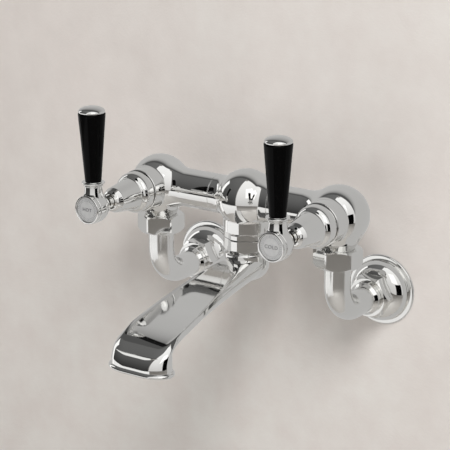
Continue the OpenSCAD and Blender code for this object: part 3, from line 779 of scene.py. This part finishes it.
# the spout turns in a hexagonal socket, held by its nut
socketHex = {"flats": 36.5, "span": (53.2, 58.6), "turn": 19.6, "lowCut": (2.0, 0.5), "highCut": (2.6, 1.3),
             "edge": 0.3, "soften": 0.2, "hole": [(10.06, 51), (10.06, 60.6)]}
spoutNut = {"flats": 36.5, "span": (42, 52.8), "turn": 19.6, "lowCut": (2.9, 2.0), "highCut": (2.0, 0.5),
            "edge": 0.3, "soften": 0.2, "hole": [(12.8, 40), (12.8, 44.6), (15.05, 44.6), (15.05, 54.8)]}
# plain rings of the socket below and above its hexagon
socketRings = {
    "skirt": {"inner": 10.06, "outer": 15, "low": 47.9, "high": 53.6, "round": (0.3, 0)},
    "plug": {"inner": 8.1, "outer": 13.2, "low": 58, "high": 70, "round": (0, 0.4)},
}
shells = [hexNut(socketHex, atSpout())]
for ring in socketRings.values():
    inner, outer, low, high = ring["inner"], ring["outer"], ring["low"], ring["high"]
    outline = softCorners([(inner, low), (outer, low, ring["round"][0]), (outer, high, ring["round"][1]),
                           (inner, high)], True, 3)
    shells.append(turnProfile(outline, atSpout(), True, 96))
socket = joinShells(shells)
finishPiece("spoutSocket", socket, chrome, "fixture", ["spout_socket"], sharp=20)
finishPiece("spoutNut", hexNut(spoutNut, atSpout()), chrome, "fixture", ["spout_nut"], sharp=20)

# distances from the wall and heights in mm; each table runs along the arm
spoutShape = {
    "armStart": 80.0, "bendStart": 206.0, "bendHeight": 9.7, "slope": 0.242, "bendSpan": 45.0,
    "mouthFront": 241.4, "mouthBase": -19.7, "heel": (213.0, -4.0), "heelR": 3.0,
    "root": 19.5, "rootTop": 41.6, "rootMid": 28, "rootDeep": 14.4, "socketBore": 12.6,
    "armSteps": 46, "bendSteps": 64, "topSteps": 64, "underSteps": 48,
    "halfWidth": [(78, 19), (105, 19.5), (125, 20), (150, 21.3), (180, 24), (206, 25.8), (228, 27),
                  (249, 28)],
    "flatHalf": [(78, 4), (105, 8.5), (125, 13.5), (150, 18), (206, 22), (220, 19), (235, 13), (249, 9)],
    "edgeDrop": [(78, 8), (105, 6), (125, 4.5), (150, 3), (206, 1.8), (220, 3), (230, 6), (241, 11),
                 (249, 12)],
    "railRise": [(78, 0), (125, 0.8), (150, 1.4), (206, 1.8), (218, 0.7), (230, 0), (249, 0)],
    "depth": [(78, 25), (105, 20), (125, 18), (150, 15.5), (180, 11.8), (206, 10.2), (216, 9)],
    "power": [(78, 2.4), (125, 2.2), (180, 1.8), (206, 1.8), (249, 2.3)],
    "lip": [(3.9, 0.25), (3.5, 0.9), (3.0, 1.55), (2.4, 1.9), (1.7, 2.05), (1.0, 1.9), (0.4, 1.45),
            (0.05, 0.8), (0, 0.1), (0, -1.6), (0.12, -2.3), (0.5, -2.8), (1.2, -3.0), (3.0, -3.0),
            (16.0, -3.2)],  # height over the mouth's base, growth of its outline
}


# smooth curve through a table, with no overshoot
def along(key, s):
    table = spoutShape[key]
    s = min(max(s, table[0][0]), table[-1][0])
    slopes = [(b[1] - a[1]) / (b[0] - a[0]) for a, b in zip(table, table[1:])]
    tangents = [slopes[0]]
    for a, b in zip(slopes, slopes[1:]):
        tangents.append(0 if a * b <= 0 else 2 * a * b / (a + b))
    tangents.append(slopes[-1])
    for i, (a, b) in enumerate(zip(table, table[1:])):
        if s <= b[0]:
            step = b[0] - a[0]
            t = (s - a[0]) / step
            return (a[1] * (2 * t ** 3 - 3 * t * t + 1) + b[1] * (3 * t * t - 2 * t ** 3)
                    + step * (tangents[i] * (t ** 3 - 2 * t * t + t) + tangents[i + 1] * (t ** 3 - t * t)))
    return table[-1][1]


# sections along the spout: distance, height, lean, place in the tables and depth
def spoutStations():
    sh = spoutShape
    lean = math.atan(sh["slope"])
    p0 = Vector((sh["bendStart"], sh["bendHeight"]))
    p1 = p0 + Vector((math.cos(lean), -math.sin(lean))) * 20
    p3 = Vector((sh["mouthFront"], sh["mouthBase"] + 4))
    p2 = p3 + Vector((0, 14.5))
    out = []
    for i in range(sh["armSteps"]):
        u = sh["armStart"] + (sh["bendStart"] - sh["armStart"]) * i / sh["armSteps"]
        out.append((u, sh["bendHeight"] + sh["slope"] * (sh["bendStart"] - u), lean, u, along("depth", u)))
    # sections of the bend fan out from the heel
    heel = Vector(sh["heel"])
    for i in range(sh["bendSteps"] + 1):
        t = i / sh["bendSteps"]
        p = p0 * (1 - t) ** 3 + p1 * 3 * t * (1 - t) ** 2 + p2 * 3 * t * t * (1 - t) + p3 * t ** 3
        s, v = sh["bendStart"] + sh["bendSpan"] * t, p - heel
        fan = math.atan2(v.x, v.y) if v.y > 0 else math.pi / 2
        far = v.length if v.y > 0 else v.x
        deep = far - sh["heelR"] if fan > lean else along("depth", s)
        out.append((p.x, p.y, max(lean, fan), s, deep))
    return out


# one section: a flat top with raised edges over a rounded underside
def spoutOutline(s, deep):
    top, under = spoutShape["topSteps"], spoutShape["underSteps"]
    w, a, drop = along("halfWidth", s), along("flatHalf", s), along("edgeDrop", s)
    rail, power = along("railRise", s), along("power", s)
    points = []
    for i in range(top + 1):
        x = w * math.cos(math.pi * i / top)
        q = min(1, max(0, (abs(x) - a) / (w - a)))
        points.append((x, -drop * (1 - math.sqrt(1 - q * q)) + rail * math.sin(math.pi * q) ** 2))
    for i in range(1, under):
        x = -w * math.cos(math.pi * i / under)
        points.append((x, -drop - (deep - drop) * max(0, 1 - abs(x / w) ** power) ** (1 / power)))
    return points


def ringAt(bm, outline, u, z, lean):
    verts = []
    for x, y in outline:
        spot = Vector((x, -u - y * math.sin(lean), z + y * math.cos(lean)))
        verts.append(bm.verts.new(spot * mm))
    return [bm.edges.new(pair) for pair in zip(verts, verts[1:] + verts[:1])]


def spoutShells():
    sh = spoutShape
    bm = bmesh.new()
    rings = [ringAt(bm, spoutOutline(s, deep), u, z, lean) for u, z, lean, s, deep in spoutStations()]
    tip = sh["bendStart"] + sh["bendSpan"]
    mouthDepth = sh["mouthFront"] - sh["heel"][0] - sh["heelR"]
    outline = spoutOutline(tip, mouthDepth)
    wide, middle = along("halfWidth", tip), mouthDepth / 2
    for h, grow in sh["lip"]:
        stretchX, stretchY = (wide + grow) / wide, (middle + grow) / middle
        grown = [(x * stretchX, (y + middle) * stretchY - middle) for x, y in outline]
        rings.append(ringAt(bm, grown, sh["mouthFront"], sh["mouthBase"] + h, math.pi / 2))
    for a, b in zip(rings, rings[1:]):
        bmesh.ops.bridge_loops(bm, edges=a + b)
    bmesh.ops.holes_fill(bm, edges=[e for e in bm.edges if e.is_boundary], sides=0)
    bmesh.ops.recalc_face_normals(bm, faces=bm.faces)
    # the root is a bowl that the arm grows out of
    radius, top, bore = sh["root"], sh["rootTop"], sh["socketBore"]
    root = [(0, sh["rootMid"] - sh["rootDeep"])]
    for degrees in range(-86, 1, 3):
        a = math.radians(degrees)
        root.append((radius * math.cos(a), sh["rootMid"] + sh["rootDeep"] * math.sin(a)))
    root += softCorners([(radius, 34), (radius, 40.2, 2.2), (17.3, top, 0.5), (bore, top, 0.2), (bore, 36),
                         (0, 36)])
    return [bm, turnProfile(root, atSpout())]


finishPiece("castSpout", joinShells(spoutShells()), castChrome, "spout_arm", ["spout"], sharp=50)
print("spout is made")

# the inner pieces keep their solids and only get a finish
innerFinish = {
    "spout_tail": brass, "cartridge": brass, "spindle": brass,
    "spout_orings": rubber, "union_washers": rubber, "wall_washers": rubber, "wall_seals": rubber,
    "seat_seal": rubber, "spindle_orings": rubber, "spout_washer": acetal, "flow_straightener": acetal,
    "fixed_disc": alumina, "moving_disc": alumina, "circlip": steel, "hub_screw": steel, "lever_rod": steel,
}
for name, node in nodes.items():
    if node.hide_render:
        continue
    key = name.split("_", 1)[1] if name.split("_", 1)[0] in sides else name
    node.data.materials.clear()
    node.data.materials.append(innerFinish[key])
print("inner pieces are finished")


def stageMesh(name, bm, material):
    mesh = bpy.data.meshes.new(name)
    bm.to_mesh(mesh)
    bm.free()
    mesh.materials.append(material)
    thing = bpy.data.objects.new(name, mesh)
    scene.collection.objects.link(thing)
    return thing


# plaster with a slow colour drift, seen from the room only
def plasterFinish():
    f = Finish("plaster")
    drift = f.noise(2.2, 3, 0.5).span(0.35, 0.65)
    mottle = f.noise(26, 5, 0.6)
    grain = f.noise(420, 4, 0.6)
    warm, cool = (0.665, 0.618, 0.588, 1), (0.665, 0.645, 0.612, 1)
    tone = f.blend(mottle.span(0.3, 0.7), f.blend(drift, warm, cool), (0.62, 0.575, 0.545, 1))
    f.set(Base_Color=tone, Roughness=0.85, Normal=f.bump(grain * 0.35 + mottle, 0.5, 0.0012))
    back = f.node("ShaderNodeNewGeometry", out="Backfacing")
    clear = f.node("ShaderNodeBsdfTransparent")
    mixed = f.node("ShaderNodeMixShader", inputs={0: back, 1: Wire(f, f.shader.outputs[0]), 2: clear})
    f.tree.links.new(mixed.socket, f.tree.nodes["Material Output"].inputs["Surface"])
    return f.material


def floorFinish():
    f = Finish("paleFloor")
    tone = f.blend(f.noise(3), (0.62, 0.61, 0.59, 1), (0.58, 0.57, 0.55, 1))
    return f.set(Base_Color=tone, Roughness=0.7)


# a glowing board whose light changes evenly from its lower to its upper edge
def glowFinish(name, low, high, heights):
    f = Finish(name)
    coords = f.node("ShaderNodeTexCoord", out="Object")
    height = f.node("ShaderNodeSeparateXYZ", inputs={"Vector": coords}, out="Z")
    lowTone, highTone = (low, low * 0.99, low * 0.975, 1), (high, high, high * 0.99, 1)
    f.set(Base_Color=(0, 0, 0, 1), Roughness=1.0, Specular_IOR_Level=0.0, Emission_Strength=1.0,
          Emission_Color=f.blend(height.span(*heights), lowTone, highTone))
    return f.material


def sheet(size, place):
    bm = bmesh.new()
    bmesh.ops.create_grid(bm, x_segments=1, y_segments=1, size=size, matrix=place)
    return bm


# the room sees the plaster; the metal sees the backdrop in front of it, a glowing sheet that paints the lit
# wall into the reflections, its painted light darkening towards the ceiling
stage = {"wallSize": 2.0, "wallMid": 0.6, "wallBack": 0.0004, "backdropBack": 0.0003, "floorSize": 3.0,
         "floorAt": (0, -1.5, -0.9), "backdropGlow": (0.52, 0.09), "backdropSpan": (0.24, 0.62)}
wallPlace = Matrix.Translation((0, stage["wallBack"], stage["wallMid"])) @ faceRoom
stageMesh("wall", sheet(stage["wallSize"], wallPlace), plasterFinish()).visible_glossy = False
stageMesh("floor", sheet(stage["floorSize"], Matrix.Translation(stage["floorAt"])), floorFinish())


def heading(azimuth, elevation):
    a, e = math.radians(azimuth), math.radians(elevation)
    return Vector((math.sin(a) * math.cos(e), -math.cos(a) * math.cos(e), math.sin(e)))


def metalOnly(board):
    board.visible_camera = board.visible_diffuse = board.visible_shadow = False


# cards round the body: spans of azimuth and elevation, distance, glow at the lower and upper edge
cards = {
    "softBox": {"turn": (-9, 92), "lift": (-14, 84), "far": 2.0, "glow": (0.66, 1.05)},
    "whitePanel": {"turn": (28, 66), "lift": (16, 52), "far": 1.7, "glow": (1.25, 1.35)},
    "darkRoom": {"turn": (-100, -11), "lift": (-15, 88), "far": 2.0, "glow": (0.035, 0.16)},
    "lowStrip": {"turn": (-76, -6), "lift": (-42, -16), "far": 1.3, "glow": (0.8, 1.0)},
    "leftStrip": {"turn": (-97, -78), "lift": (-40, 36), "far": 1.8, "glow": (1.1, 1.2)},
    "rightFlag": {"turn": (48, 86), "lift": (-16, 14), "far": 1.2, "glow": (0.0, 0.0)},
}
for name, card in cards.items():
    bm = bmesh.new()
    centre = Vector((0, -layout["reach"], layout["rise"]))
    grid = bmesh.ops.create_grid(bm, x_segments=16, y_segments=12, size=0.5)["verts"]
    (left, right), (low, high) = card["turn"], card["lift"]
    for vert in grid:
        azimuth = left + (right - left) * (vert.co.x + 0.5)
        elevation = low + (high - low) * (vert.co.y + 0.5)
        vert.co = centre + heading(azimuth, elevation) * card["far"]
    heights = [centre.z + math.sin(math.radians(e)) * card["far"] for e in (low, high)]
    metalOnly(stageMesh(name, bm, glowFinish(name + "Glow", *card["glow"], heights)))

# painted wall light for the metal only: the glow is brighter low down and dimmer towards the ceiling
backdropPlace = Matrix.Translation((0, stage["backdropBack"], stage["wallMid"])) @ faceRoom
glow = glowFinish("backdropGlow", *stage["backdropGlow"], stage["backdropSpan"])
metalOnly(stageMesh("backdrop", sheet(stage["wallSize"], backdropPlace), glow))

aim = Vector((0, 0, 0.03))
lights = {
    "key": {"place": (0.90, -1.42, 1.38), "size": 0.7, "power": 34},
    "fill": {"place": (0.2, -1.7, -0.4), "size": 1.4, "power": 10},
}
for name, lamp in lights.items():
    data = bpy.data.lights.new(name, "AREA")
    data.size, data.energy = lamp["size"], lamp["power"]
    thing = bpy.data.objects.new(name, data)
    scene.collection.objects.link(thing)
    thing.location = lamp["place"]
    thing.rotation_mode = "QUATERNION"
    thing.rotation_quaternion = (aim - thing.location).to_track_quat("-Z", "Y")
    thing.visible_camera = thing.visible_glossy = False

room = bpy.data.worlds.new("room")
scene.world = room
room.use_nodes = True
background = room.node_tree.nodes["Background"]
background.inputs["Color"].default_value = (0.90, 0.86, 0.82, 1)
background.inputs["Strength"].default_value = 0.31
scene.view_settings.view_transform = "Standard"
print("stage is lit")
